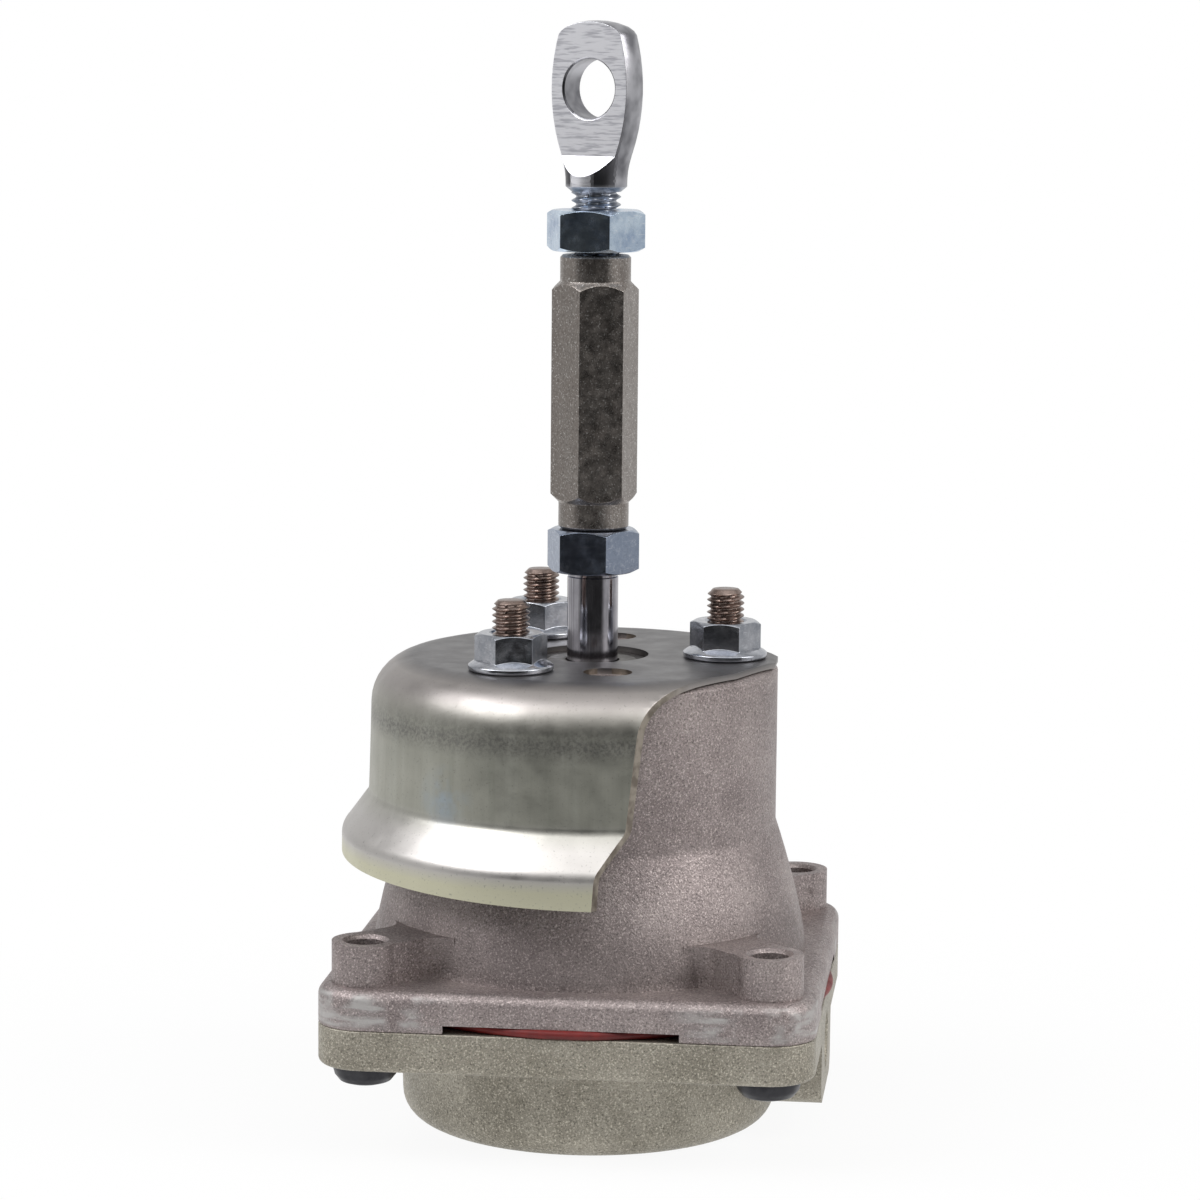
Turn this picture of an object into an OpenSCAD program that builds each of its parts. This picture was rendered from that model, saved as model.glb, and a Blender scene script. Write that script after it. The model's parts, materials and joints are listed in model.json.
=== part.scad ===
// Pneumatic wastegate actuator: a spring-loaded piston and diaphragm in a two-piece cast body
// push a threaded rod with an adjustable coupler and a flat eye end.
// Origin: on the rod's axis at the underside of the cup. +Z runs up the rod. Millimetres.

/* [Cast flanges] */
// Distance from a cover screw's centre to the flange's side
flange_margin = 7.4; // [6:0.1:10]
// Radius of the flanges' upright corners
flange_corner_r = 7.4; // [5:0.1:9]
// Thickness of the lower cover's flange
lower_flange_t = 6.5; // [5:0.1:9]
// Thickness of the upper housing's flange
upper_flange_t = 6.4; // [5:0.1:9]
// Rounding of the upper flange's top edge
shoulder_r = 2; // [0.5:0.1:3]
// Rounding of the lower flange's bottom edge
lower_edge_r = 1; // [0.4:0.1:2]
// How far the rows of cover screws stand outside the tower's side
screw_out = 1.6; // [0.5:0.1:4]
// Gap between the diaphragm's rim and the cover screws
screw_gap = 1.9; // [1:0.1:4]

/* [Lower cover] */
// Outer radius of the round cup
cup_r = 30.8; // [29.5:0.1:32]
// Depth of the cup below the flange
cup_depth = 15.4; // [14:0.1:20]
// Rounding of the cup's bottom edge
cup_edge_r = 4.2; // [1:0.1:6]
// Thickness of the cup's side wall
cup_wall = 3.2; // [2.4:0.1:4]
// Thickness of the cup's floor
cup_floor_t = 3.4; // [2.4:0.1:5]
// Width of the air port's boss
port_w = 25; // [18:0.5:28]
// Sideways offset of the air port's boss from the middle of the side
port_offset = -2.5; // [-6:0.5:6]
// Height of the air port's boss below the flange
port_drop = 9.3; // [6:0.1:11]
// Radius of the air port's tapped hole
port_hole_r = 4.2; // [3:0.1:5]
// Depth of the air port's tapped hole
port_hole_depth = 7; // [5:0.5:8]
// Radius of the passage from the port into the cup
port_passage_r = 2; // [1:0.1:2.5]

/* [Upper housing] */
// Outer radius of the tower
tower_r = 30; // [29:0.1:31]
// Height of the tower's top above the split between the castings
tower_h = 53.1; // [48:0.1:60]
// Height of the flared foot above the split
flare_h = 27.4; // [20:0.1:32]
// How far the tower's foot flares out at the flange
foot_flare = 5.2; // [3:0.1:6.5]
// Fall of the tower's crowned top towards its edge, under the shield's bend
crown_drop = 0.5; // [0.4:0.05:1.2]
// Bevel on the tower's top edge
tower_bevel = 0.7; // [0.2:0.1:1]
// Wall thickness of the tower at the top
tower_wall = 3.6; // [2.5:0.1:4.5]
// Thickness of the tower's roof
roof_t = 5; // [4:0.1:7]
// Radius of the corner bosses
boss_r = 5.3; // [4.5:0.1:6]
// Width of the ribs between the bosses and the tower
rib_w = 9.8; // [6:0.1:10]
// Height of the corner bosses above the flange
boss_h = 6.5; // [4:0.1:10]
// Radius of the fillets where a rib meets the tower
rib_fillet_r = 4; // [2:0.1:6]
// Outer radius of the rod's guide hub
hub_r = 9.5; // [8.5:0.1:10]
// Length of the guide hub below the roof
hub_drop = 18; // [10:0.5:24]
// Radius of the vent holes through the roof
roof_vent_r = 2.4; // [1.5:0.1:3]

/* [Diaphragm] */
// Thickness of the clamped rim
rim_t = 1.4; // [1:0.1:2]
// Thickness of the rolling web
web_t = 0.9; // [0.6:0.1:1.2]
// Radial room round the rim in its recess
recess_fit = 3.3; // [2:0.1:4]

/* [Piston and spring] */
// Outer radius of the piston
piston_r = 21.5; // [19:0.1:22.5]
// Height of the piston's skirt
piston_h = 10; // [6:0.5:14]
// Thickness of the piston's web and skirt
piston_t = 1.8; // [1.2:0.1:2.5]
// Radius of the retainer plate under the diaphragm
retainer_r = 18.5; // [16:0.1:20]
// Thickness of the retainer plate
retainer_t = 1.5; // [1:0.1:2.5]
// Full travel of the rod
stroke = 12; // [8:0.5:14]
// Mean radius of the return spring
spring_r = 13; // [12.4:0.1:13.2]
// Wire diameter of the return spring
wire_d = 3; // [2.2:0.1:3.2]
// Number of turns in the return spring
spring_turns = 6.5; // [5:0.5:8]
// Thickness of the spring's upper seat washer
seat_t = 1; // [0.6:0.1:1.5]

/* [Rod stack] */
// Radius of the polished rod
rod_r = 4.1; // [3.8:0.05:4.3]
// Radius of the rod's and eye end's screw threads
rod_thread_r = 3.95; // [3.5:0.05:4]
// Radius of the rod's lower screw end
rod_tail_r = 3; // [2.5:0.1:3.2]
// Height of the lower jam nut above the heat shield at rest
lower_nut_rise = 13.5; // [12.5:0.1:18]
// Thickness of the lower jam nut
lower_nut_t = 6.9; // [5:0.1:8]
// Width across flats of the lower jam nut
lower_nut_af = 13.2; // [12.5:0.1:14]
// Length of the coupler's hexagon
coupler_hex_l = 35.4; // [25:0.1:45]
// Width across flats of the coupler
coupler_af = 12.2; // [11.8:0.1:13]
// Radius of the coupler's round collars
collar_r = 5.65; // [5.3:0.05:5.8]
// Length of each collar
collar_l = 4.2; // [3:0.1:6]
// Gap between the coupler and the upper jam nut
upper_gap = 0.6; // [0.2:0.1:2]
// Thickness of the upper jam nut
upper_nut_t = 6.5; // [5:0.1:8]
// Width across flats of the upper jam nut
upper_nut_af = 14; // [13:0.1:15]

/* [Eye end] */
// Thread showing between the upper jam nut and the eye's shoulder
eye_thread_show = 3.7; // [3.2:0.1:8]
// Radius of the eye's neck
eye_neck_r = 4.9; // [4.6:0.05:5.5]
// Largest radius of the eye's barrel head
eye_r = 7.43; // [6.8:0.01:8]
// Height of the eye's hole above its shoulder
eye_hole_rise = 15.4; // [14:0.1:17]
// Height of the barrel head above its hole
eye_top_rise = 10.7; // [9:0.1:12]
// Radius of the eye's hole
eye_hole_r = 4.7; // [4:0.05:5]
// Thickness across the milled flats
eye_flat_t = 5; // [4:0.1:6]
// Direction that the eye's hole runs in
eye_turn = 64; // [0:1:180]

/* [Heat shield] */
// Sheet thickness of the heat shield
shield_t = 0.9; // [0.6:0.1:1.2]
// Distance from the tower's side to the outer side of the shield's wall
shield_gap = 6; // [5:0.1:7.5]
// Draft of the shield's wall
shield_draft = 1.5; // [0:0.1:5]
// How far the shield's lip stands outside its wall
shield_flare_out = 4.4; // [3:0.1:6]
// Height of the shield's flare between its wall and its lip
shield_flare_rise = 7.6; // [5:0.1:9]
// Bend radius between the shield's top and wall
shield_bend_r = 7.7; // [6:0.1:10]
// Height from the shield's top to the bottom of its flare
shield_flare_drop = 29.2; // [26:0.1:34]
// Depth of the upright lip below the flare, on the cut side
lip_h = 4.4; // [2:0.1:6]
// Tilt of the trimmed lower edge, deepest on the cut side
lip_tilt = 1.6; // [0:0.1:2.5]
// Direction square to the front cut
front_cut_turn = -36; // [-50:1:-20]
// Distance of the front cut from the axis
front_cut_dist = 27.4; // [26.5:0.1:30]
// Lean of the front cut, outwards towards the top
front_cut_lean = 2.9; // [0:0.1:4]
// Direction square to the tab's front corner
tab_cut_turn = -22; // [-30:1:-12]
// Distance of the tab's front corner from the axis
tab_cut_dist = 28.7; // [27.5:0.1:30]
// Direction square to the rear cut
rear_cut_turn = 34; // [20:1:50]
// Distance of the rear cut from the axis
rear_cut_dist = 26.8; // [26:0.1:30]
// Distance of the end trim from the axis
end_trim_dist = 29.8; // [29:0.1:32]
// Radius of the clearance hole round the rod
shield_hole_r = 9.1; // [7:0.1:10]
// Radius of the shield's vent holes
shield_vent_r = 3.85; // [2.6:0.05:4.5]
// Distance of the vent holes from the axis
vent_reach = 18.8; // [18.2:0.1:19.5]
// Direction of the front vent
front_vent_turn = -76; // [-85:1:-70]
// Direction of the rear vent
rear_vent_turn = 86; // [75:1:90]

/* [Mounting studs and screws] */
// Diameter of the circle that the studs stand on
stud_pcd = 43; // [42:0.1:44]
// Number of studs
stud_count = 3; // [3]
// Thread radius of the studs and cover screws
m6_r = 3; // [2.5:0.05:3.2]
// Height of the studs above the heat shield
stud_rise = 11.1; // [8:0.1:20]
// Depth of the studs in their tapped bosses
stud_depth = 10; // [6:0.5:12]
// Radius of the stud bosses inside the tower
stud_boss_r = 5.6; // [5.2:0.1:6]
// Width across flats of the stud nuts
stud_nut_af = 10; // [9:0.1:11]
// Height of the stud nuts
stud_nut_h = 6; // [4.5:0.1:8]
// Radius of the stud nuts' flange
stud_nut_flange_r = 6.75; // [6:0.05:7.4]
// Radius of the cover screws' button heads
button_r = 5.2; // [4.5:0.1:6]
// Height of the cover screws' button heads
button_h = 3.3; // [2.5:0.1:4]
// Length of the cover screws below the head
screw_l = 16; // [12:0.5:18]
// Width across flats of the cover screws' sockets
socket_af = 4; // [3:0.1:4.5]

/* [Fits] */
// Radial running clearance of the rod in its bush
run_fit = 0.05; // [0.02:0.01:0.1]
// Radial clearance in screw threads
thread_fit = 0.05; // [0.02:0.01:0.1]
// Radial clearance of holes that a screw or stud passes through
pass_fit = 0.3; // [0.1:0.05:0.6]
// Gap between faces that turn or slide on each other
face_fit = 0.1; // [0.05:0.05:0.3]

/* [Hidden] */
$fn = 96;
eps = 0.01;
far = 200;

// Levels along the rod's axis
screw_pitch = 2 * (tower_r + screw_out);
diaphragm_r = screw_pitch / sqrt(2) - m6_r - screw_gap;
flange_w = screw_pitch + 2 * flange_margin;
recess_r = diaphragm_r + recess_fit;
split_z = cup_depth + lower_flange_t;
flange_top_z = split_z + upper_flange_t;
boss_top_z = flange_top_z + boss_h;
root_z = flange_top_z - upper_flange_t / 2;
tower_top_z = split_z + tower_h;
flare_z = split_z + flare_h;
roof_z = tower_top_z - roof_t;
shield_top_z = tower_top_z + shield_t;
shield_flare_z = shield_top_z - shield_flare_drop;
foot_r = tower_r + foot_flare;
shield_wall_r = tower_r + shield_gap;
shield_lip_r = shield_wall_r + shield_flare_out;
shield_foot_z = shield_flare_z + shield_flare_rise;
shield_bend_z = shield_top_z - shield_bend_r;
shield_bend_x = shield_wall_r - shield_bend_r * cos(shield_draft)
    - (shield_bend_z + shield_bend_r * sin(shield_draft) - shield_foot_z) * tan(shield_draft);
stud_r = stud_pcd / 2;
half_w = flange_w / 2;
cup_inner_r = cup_r - cup_wall;
tower_inner_r = tower_r - tower_wall;
port_z = cup_depth - port_drop / 2 + lower_flange_t / 2;

// The screwed stack under the piston, from the cup's floor upwards
washer_t = 1.2;
washer_r = 9;
tail_nut_t = 5;
tail_nut_af = 10;
tail_z = cup_floor_t + 4 * face_fit;
washer_z = tail_z + tail_nut_t;
retainer_z = washer_z + washer_t;
web_z = retainer_z + retainer_t;
piston_z = web_z + web_t;
spring_z = piston_z + piston_t;

// The return spring between the piston and its seat under the roof
seat_z = roof_z - seat_t;
spring_l = seat_z - spring_z;
seat_r = spring_r + wire_d / 2 + 0.2;

// The guide bush and the seal above it, stacked in the hub
bush_r = 6.2;
bush_l = hub_drop - 1;
seal_r = 7.2;
seal_t = 3;
seal_washer_t = 0.8;
seal_z = tower_top_z - seal_washer_t - seal_t;
bush_z = seal_z - bush_l;
hub_z = bush_z - 1;

// The rod stack above the shield
lower_nut_z = shield_top_z + lower_nut_rise;
coupler_z = lower_nut_z + lower_nut_t + face_fit;
hex_z = coupler_z + collar_l;
collar_top_z = hex_z + coupler_hex_l;
coupler_top_z = collar_top_z + collar_l;
upper_nut_z = coupler_top_z + upper_gap;
shoulder_z = upper_nut_z + upper_nut_t + eye_thread_show;
eye_z = shoulder_z + eye_hole_rise;
eye_top_z = eye_z + eye_top_rise;
rod_grip = 14;
eye_grip = 12;
rod_top_z = coupler_z + rod_grip;
eye_tail_z = coupler_top_z - eye_grip;
lower_nut_turn = 22;
coupler_turn = 16;
upper_nut_turn = 22;
stud_nut_turns = [27, 13, 43];

// Shared shapes

// Points of an arc about [x, y], from angle a0 to a1
function arc(x, y, r, a0, a1, n = 8) =
    [for (i = [0:n]) let (a = a0 + (a1 - a0) * i / n) [x + r * cos(a), y + r * sin(a)]];

// Half outline of a slab edge with rounded upper and lower corners
module edge_profile(w, h, top_r, bottom_r) {
    difference() {
        square([w, h]);
        translate([w - top_r, h - top_r]) difference() {
            square([top_r + 1, top_r + 1]);
            circle(top_r);
        }
        translate([w - bottom_r, bottom_r]) mirror([0, 1]) difference() {
            square([bottom_r + 1, bottom_r + 1]);
            circle(bottom_r);
        }
    }
}

// Square slab with rounded upright corners and rounded top and bottom edges
module flange_slab(h, top_r, bottom_r) {
    run = half_w - flange_corner_r;
    for (side = [0:3]) {
        rotate([0, 0, 90 * side]) {
            rotate([90, 0, 0])
                linear_extrude(2 * run, center = true) edge_profile(half_w, h, top_r, bottom_r);
            translate([run, run]) rotate_extrude() edge_profile(flange_corner_r, h, top_r, bottom_r);
        }
    }
}

// Copies its children to the four cover screws
module at_screws() {
    for (x = [-1, 1], y = [-1, 1]) translate([x * screw_pitch / 2, y * screw_pitch / 2]) children();
}

// Copies its children to the mounting studs
module at_studs() {
    for (i = [0:stud_count - 1]) rotate([0, 0, 360 * i / stud_count]) translate([stud_r, 0]) children();
}

// Copies its children to the two vents
module at_vents() {
    for (turn = [front_vent_turn, rear_vent_turn]) rotate([0, 0, turn]) translate([vent_reach, 0]) children();
}

// Hexagonal nut with bevelled corners and a threaded bore
module hex_nut(af, h, bore_r) {
    corner_r = af / sqrt(3);
    bevel = (corner_r - af / 2) * 1.1;
    drop = bevel * 0.55;
    difference() {
        intersection() {
            rotate([0, 0, 30]) cylinder(r = corner_r, h = h, $fn = 6);
            rotate_extrude() polygon([[0, 0], [corner_r - bevel, 0], [corner_r + bevel, 2 * drop],
                [corner_r + bevel, h - 2 * drop], [corner_r - bevel, h], [0, h]]);
        }
        translate([0, 0, -1]) cylinder(r = bore_r, h = h + 2);
        for (z = [0, h]) translate([0, 0, z]) lead_in(bore_r, z > 0);
    }
}

// Countersink at the mouth of a tapped hole, opening downwards or upwards
module lead_in(r, up, depth = 0.5) {
    rise = up ? depth : -depth;
    rotate_extrude() polygon([[0, -rise], [r, -rise], [r + depth + eps, eps * sign(rise)],
        [0, eps * sign(rise)]]);
}

// Castings

module lower_cover() {
    color("darkkhaki") difference() {
        union() {
            translate([0, 0, cup_depth]) flange_slab(lower_flange_t, 0.3, lower_edge_r);
            rotate_extrude() polygon(concat([[0, 0]], arc(cup_r - cup_edge_r - 0.4, cup_edge_r,
                cup_edge_r, -90, 0), [[cup_r, cup_depth + 1], [0, cup_depth + 1]]));
            port_boss();
        }
        translate([0, 0, cup_floor_t]) cup_hollow();
        at_screws() translate([0, 0, cup_depth - 1]) cylinder(r = m6_r + pass_fit, h = lower_flange_t + 2);
        translate([half_w, port_offset, port_z]) rotate([0, -90, 0]) {
            translate([0, 0, -1]) cylinder(r = port_hole_r, h = port_hole_depth + 1);
            lead_in(port_hole_r, false);
            cylinder(r = port_passage_r, h = half_w - cup_inner_r + 2);
        }
    }
}

// Inside of the cup, with a rounded floor edge
module cup_hollow() {
    inner_edge_r = cup_edge_r * 0.6;
    depth = split_z - cup_floor_t + 1;
    rotate_extrude() polygon(concat([[0, 0]], arc(cup_inner_r - inner_edge_r, inner_edge_r,
        inner_edge_r, -90, 0), [[cup_inner_r, depth], [0, depth]]));
}

// Boss for the air port, flush with the flange's side, with rounded lower corners
module port_boss() {
    corner = 3;
    length = half_w - cup_inner_r - 1;
    translate([half_w - length, port_offset, cup_depth + 1]) rotate([90, 0, 90]) linear_extrude(length)
        difference() {
            translate([-port_w / 2, -port_drop - 1]) square([port_w, port_drop + 1]);
            for (s = [-1, 1]) translate([s * (port_w / 2 - corner), corner - port_drop - 1])
                scale([s, -1]) difference() {
                    square(corner + 1);
                    circle(corner);
                }
        }
}

module upper_housing() {
    color("rosybrown") difference() {
        union() {
            translate([0, 0, split_z]) flange_slab(upper_flange_t, shoulder_r, 0.3);
            rotate_extrude() polygon(tower_outline());
            at_screws() translate([0, 0, root_z]) cylinder(r = boss_r, h = boss_top_z - root_z);
            for (side = [0:3]) rotate([0, 0, 45 + 90 * side]) corner_rib();
        }
        difference() {
            union() {
                rotate_extrude() polygon(bore_outline());
                translate([0, 0, split_z - 1]) cylinder(r = recess_r, h = rim_t + 1);
            }
            translate([0, 0, hub_z]) cylinder(r = hub_r, h = far);
            at_studs() translate([0, 0, tower_top_z - stud_depth - 2]) cylinder(r = stud_boss_r, h = far);
        }
        translate([0, 0, hub_z - 1]) cylinder(r = rod_r + pass_fit, h = far);
        translate([0, 0, bush_z]) cylinder(r = bush_r, h = bush_l + eps);
        translate([0, 0, seal_z]) cylinder(r = seal_r, h = far);
        at_studs() translate([0, 0, tower_top_z - stud_depth]) cylinder(r = m6_r + thread_fit, h = far);
        at_vents() translate([0, 0, roof_z - 1]) cylinder(r = roof_vent_r, h = far);
        at_screws() {
            translate([0, 0, split_z - 1]) cylinder(r = m6_r + thread_fit, h = far);
            translate([0, 0, boss_top_z]) lead_in(m6_r + thread_fit, true, 0.6);
        }
    }
}

// Outer half outline of the tower with its flared foot
function tower_outline() = concat([[0, root_z], [foot_r, root_z]], flare_points(),
    [[tower_r, tower_top_z - crown_drop - tower_bevel], [tower_r - tower_bevel, tower_top_z - crown_drop],
    [shield_bend_x - face_fit, tower_top_z], [0, tower_top_z]]);

// The flare swells quickly under the shield and runs out almost upright at the flange
function flare_points() = let (rise = flare_z - flange_top_z, out = foot_r - tower_r)
    [for (i = [0:8]) [foot_r - out * pow(i / 8, 1.35), flange_top_z + rise * i / 8]];

// Half outline of the tower's drafted bore below the roof
function bore_outline() = [[0, split_z - 1], [cup_inner_r, split_z - 1], [cup_inner_r, split_z + rim_t],
    [tower_inner_r, flare_z], [tower_inner_r, roof_z], [0, roof_z]];

// Radial rib from a corner boss to the tower, with fillets beside the tower
module corner_rib() {
    reach = screw_pitch / sqrt(2);
    swing = rib_w / 2 + rib_fillet_r;
    bite = 0.8;
    meet = sqrt(pow(foot_r - bite + rib_fillet_r, 2) - pow(swing, 2));
    translate([0, 0, root_z]) linear_extrude(boss_top_z - root_z) difference() {
        union() {
            translate([0, -rib_w / 2]) square([reach, rib_w]);
            for (s = [-1, 1]) scale([1, s]) polygon([[0, 0], [meet, 0], [meet, swing]]);
        }
        for (s = [-1, 1]) translate([meet, s * swing]) circle(rib_fillet_r);
    }
}

// Diaphragm, piston and spring

module diaphragm() {
    drop_r = cup_inner_r - 1;
    turn_r = piston_r + web_t + 0.8;
    color("darkred") rotate_extrude() difference() {
        polygon([[rod_tail_r + thread_fit, web_z], [turn_r - 2, web_z], [turn_r, web_z + 2],
            [drop_r, split_z - 1.5], [drop_r, split_z], [diaphragm_r, split_z],
            [diaphragm_r, split_z + rim_t], [drop_r - web_t, split_z + rim_t],
            [drop_r - web_t, split_z - 1.5], [turn_r - web_t, web_z + 2 + web_t / 2],
            [turn_r - 2 - web_t / 2, piston_z], [rod_tail_r + thread_fit, piston_z]]);
    }
}

module piston() {
    edge = 2;
    color("lightsteelblue") rotate_extrude() difference() {
        translate([rod_tail_r + thread_fit, piston_z])
            square([piston_r - rod_tail_r - thread_fit, piston_h]);
        translate([rod_tail_r - 1, spring_z])
            square([piston_r - rod_tail_r + 1 - piston_t, piston_h]);
        translate([piston_r - edge, piston_z + edge]) mirror([0, 1]) difference() {
            square(edge + 1);
            circle(edge);
        }
    }
}

module retainer_plate() {
    color("silver") translate([0, 0, retainer_z]) difference() {
        rotate_extrude() polygon([[0, 0], [retainer_r - 1, 0], [retainer_r, 1], [retainer_r, retainer_t],
            [0, retainer_t]]);
        translate([0, 0, -1]) cylinder(r = rod_tail_r + thread_fit, h = retainer_t + 2);
    }
}

// Coil spring with closed ends, swept as rings of points along the wire
module return_spring() {
    ring = 10;
    steps = 20 * spring_turns;
    wire_r = wire_d / 2;
    free = spring_l - wire_d;
    points = [for (i = [0:steps], j = [0:ring - 1]) let (
        t = i / steps, a = 360 * spring_turns * t, b = 360 * j / ring,
        z = spring_z + wire_r + free * coil_rise(t), r = spring_r + wire_r * cos(b))
        [r * cos(a), r * sin(a), z + wire_r * sin(b)]];
    sides = [for (i = [0:steps - 1], j = [0:ring - 1]) let (k = (j + 1) % ring)
        [i * ring + j, i * ring + k, (i + 1) * ring + k, (i + 1) * ring + j]];
    ends = [[for (j = [ring - 1:-1:0]) j], [for (j = [0:ring - 1]) steps * ring + j]];
    color("dimgray") polyhedron(points, concat(sides, ends));
}

// Rise along the spring: one nearly flat turn at each end and an even pitch between
function coil_rise(t) = let (e = 0.9 / spring_turns, lift = wire_d / (spring_l - wire_d) * 1.02)
    t < e ? lift * t / e : t > 1 - e ? 1 - lift * (1 - t) / e :
    lift + (1 - 2 * lift) * (t - e) / (1 - 2 * e);

module spring_seat() {
    color("silver") translate([0, 0, seat_z]) ring_washer(seat_r, hub_r + 0.1, seat_t);
}

module ring_washer(outer_r, inner_r, h) {
    difference() {
        cylinder(r = outer_r, h = h);
        translate([0, 0, -1]) cylinder(r = inner_r, h = h + 2);
    }
}

// Rod and its nuts

module actuator_rod() {
    bevel = 0.5;
    color("gainsboro") rotate_extrude() polygon([[0, tail_z], [rod_tail_r - bevel, tail_z],
        [rod_tail_r, tail_z + bevel], [rod_tail_r, spring_z], [rod_r, spring_z],
        [rod_r, lower_nut_z - 1], [rod_thread_r, lower_nut_z - 1 + rod_r - rod_thread_r],
        [rod_thread_r, rod_top_z - 2 * bevel], [rod_thread_r - 2 * bevel, rod_top_z], [0, rod_top_z]]);
}

module piston_washer() {
    color("silver") translate([0, 0, washer_z]) ring_washer(washer_r, rod_tail_r + thread_fit, washer_t);
}

module piston_nut() {
    color("silver") translate([0, 0, tail_z]) hex_nut(tail_nut_af, tail_nut_t, rod_tail_r + thread_fit);
}

module guide_bush() {
    color("peru") translate([0, 0, bush_z]) ring_washer(bush_r, rod_r + run_fit, bush_l);
}

module rod_seal() {
    color("black") translate([0, 0, seal_z]) ring_washer(seal_r, rod_r + run_fit, seal_t);
}

module seal_washer() {
    color("silver") translate([0, 0, tower_top_z - seal_washer_t])
        ring_washer(seal_r, rod_r + pass_fit, seal_washer_t);
}

module lower_jam_nut() {
    color("slategray") translate([0, 0, lower_nut_z]) rotate([0, 0, lower_nut_turn])
        hex_nut(lower_nut_af, lower_nut_t, rod_thread_r + thread_fit);
}

module coupler() {
    corner_r = coupler_af / sqrt(3);
    slope = corner_r - collar_r;
    edge = 0.4;
    color("gray") difference() {
        union() {
            translate([0, 0, coupler_z]) rotate_extrude() polygon([[0, 0], [collar_r - edge, 0],
                [collar_r, edge], [collar_r, collar_l + 1], [0, collar_l + 1]]);
            translate([0, 0, collar_top_z - 1]) rotate_extrude() polygon([[0, 0], [collar_r, 0],
                [collar_r, collar_l + 1 - edge], [collar_r - edge, collar_l + 1], [0, collar_l + 1]]);
            translate([0, 0, hex_z]) intersection() {
                rotate([0, 0, coupler_turn]) cylinder(r = corner_r, h = coupler_hex_l, $fn = 6);
                rotate_extrude() polygon([[0, 0], [collar_r, 0], [corner_r + slope, 2 * slope],
                    [corner_r + slope, coupler_hex_l - 2 * slope], [collar_r, coupler_hex_l],
                    [0, coupler_hex_l]]);
            }
        }
        translate([0, 0, coupler_z - 1]) cylinder(r = rod_thread_r + thread_fit, h = coupler_top_z - coupler_z + 2);
        translate([0, 0, coupler_z]) lead_in(rod_thread_r + thread_fit, false);
        translate([0, 0, coupler_top_z]) lead_in(rod_thread_r + thread_fit, true);
    }
}

module upper_jam_nut() {
    color("lightslategray") translate([0, 0, upper_nut_z]) rotate([0, 0, upper_nut_turn])
        hex_nut(upper_nut_af, upper_nut_t, rod_thread_r + thread_fit);
}

// Turned barrel head with two milled flats, a cross hole and a threaded tail
module eye_end() {
    color("lightgray") difference() {
        rotate_extrude() polygon(concat([[0, eye_tail_z], [rod_thread_r - 0.8, eye_tail_z],
            [rod_thread_r, eye_tail_z + 0.8], [rod_thread_r, shoulder_z - 0.8],
            [eye_neck_r, shoulder_z]], head_points(), [[0, eye_top_z]]));
        for (s = [0, 180]) rotate([0, 0, eye_turn + s]) milled_flat();
        translate([0, 0, eye_z]) rotate([0, 90, eye_turn]) {
            cylinder(r = eye_hole_r, h = far, center = true);
            for (s = [-1, 1]) translate([0, 0, s * eye_flat_t / 2]) lead_in(eye_hole_r, s > 0, 0.3);
        }
    }
}

// Barrel side as two arcs, a rounded upper corner and a shallow dome
function head_points() = let (
    side_r = 31, throat_r = 14, top_lean = 13, steps = 9,
    lean = acos(1 - (eye_r - eye_neck_r) / (side_r + throat_r)),
    throat_z = eye_z - (side_r + throat_r) * sin(lean),
    low = arc(eye_neck_r + throat_r, throat_z, throat_r, 180, 180 - lean, 5),
    high = arc(eye_r - side_r, eye_z, side_r, -lean, top_lean, steps))
    concat(low, [for (i = [1:steps]) high[i]], crown_points());

// Rounded corner and dome that close the barrel at the top: shares of the radius and of the drop
function crown_points() = let (crown_r = eye_r * 0.865, crown_h = eye_top_rise * 0.245,
    shape = [[0.975, 0.86], [0.9, 0.62], [0.76, 0.38], [0.5, 0.15], [0.25, 0.03]])
    [for (p = shape) [crown_r * p[0], eye_top_z - crown_h * p[1]]];

// Cutter for one flat, with the sloping run-out at its lower end
module milled_flat() {
    flat = eye_flat_t / 2;
    runout_z = shoulder_z + 4.8;
    slope = 1.29;
    reach = 4;
    rotate([90, 0, 0]) linear_extrude(4 * eye_r, center = true) polygon([[flat, runout_z],
        [flat + reach, runout_z - slope * reach], [flat + 2 * eye_r, runout_z - slope * reach],
        [flat + 2 * eye_r, eye_top_z + 1], [flat, eye_top_z + 1]]);
}

// Heat shield

// Stamped dome with a flared lip, cut away on three sides of the right-hand end
module heat_shield() {
    color("darkseagreen") difference() {
        rotate_extrude() polygon(shield_profile());
        rotate([0, 0, front_cut_turn]) translate([front_cut_dist, -far / 2, shield_flare_z - lip_h])
            rotate([0, front_cut_lean, 0]) translate([0, 0, -far / 2]) cube(far);
        rotate([0, 0, tab_cut_turn]) translate([tab_cut_dist, -far / 2, shield_bend_z]) cube(far);
        rotate([0, 0, rear_cut_turn]) translate([rear_cut_dist, -far / 2, 0]) cube(far);
        translate([end_trim_dist, -far / 2, 0]) cube(far);
        rotate([0, 0, front_cut_turn]) translate([front_cut_dist, 0, shield_flare_z - lip_h])
            rotate([0, lip_tilt, 0]) translate([-far / 2, -far / 2, -far]) cube(far);
        translate([0, 0, shield_top_z - shield_t - 1]) {
            cylinder(r = shield_hole_r, h = shield_t + 2);
            at_vents() cylinder(r = shield_vent_r, h = shield_t + 2);
            at_studs() cylinder(r = m6_r + pass_fit, h = shield_t + 2);
        }
    }
}

// Outer skin of the shield from the lip up to the axis, then the inner skin back down
function shield_profile() = concat(shield_skin(0), [for (i = [len(shield_skin(1)) - 1:-1:0]) shield_skin(1)[i]]);

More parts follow.
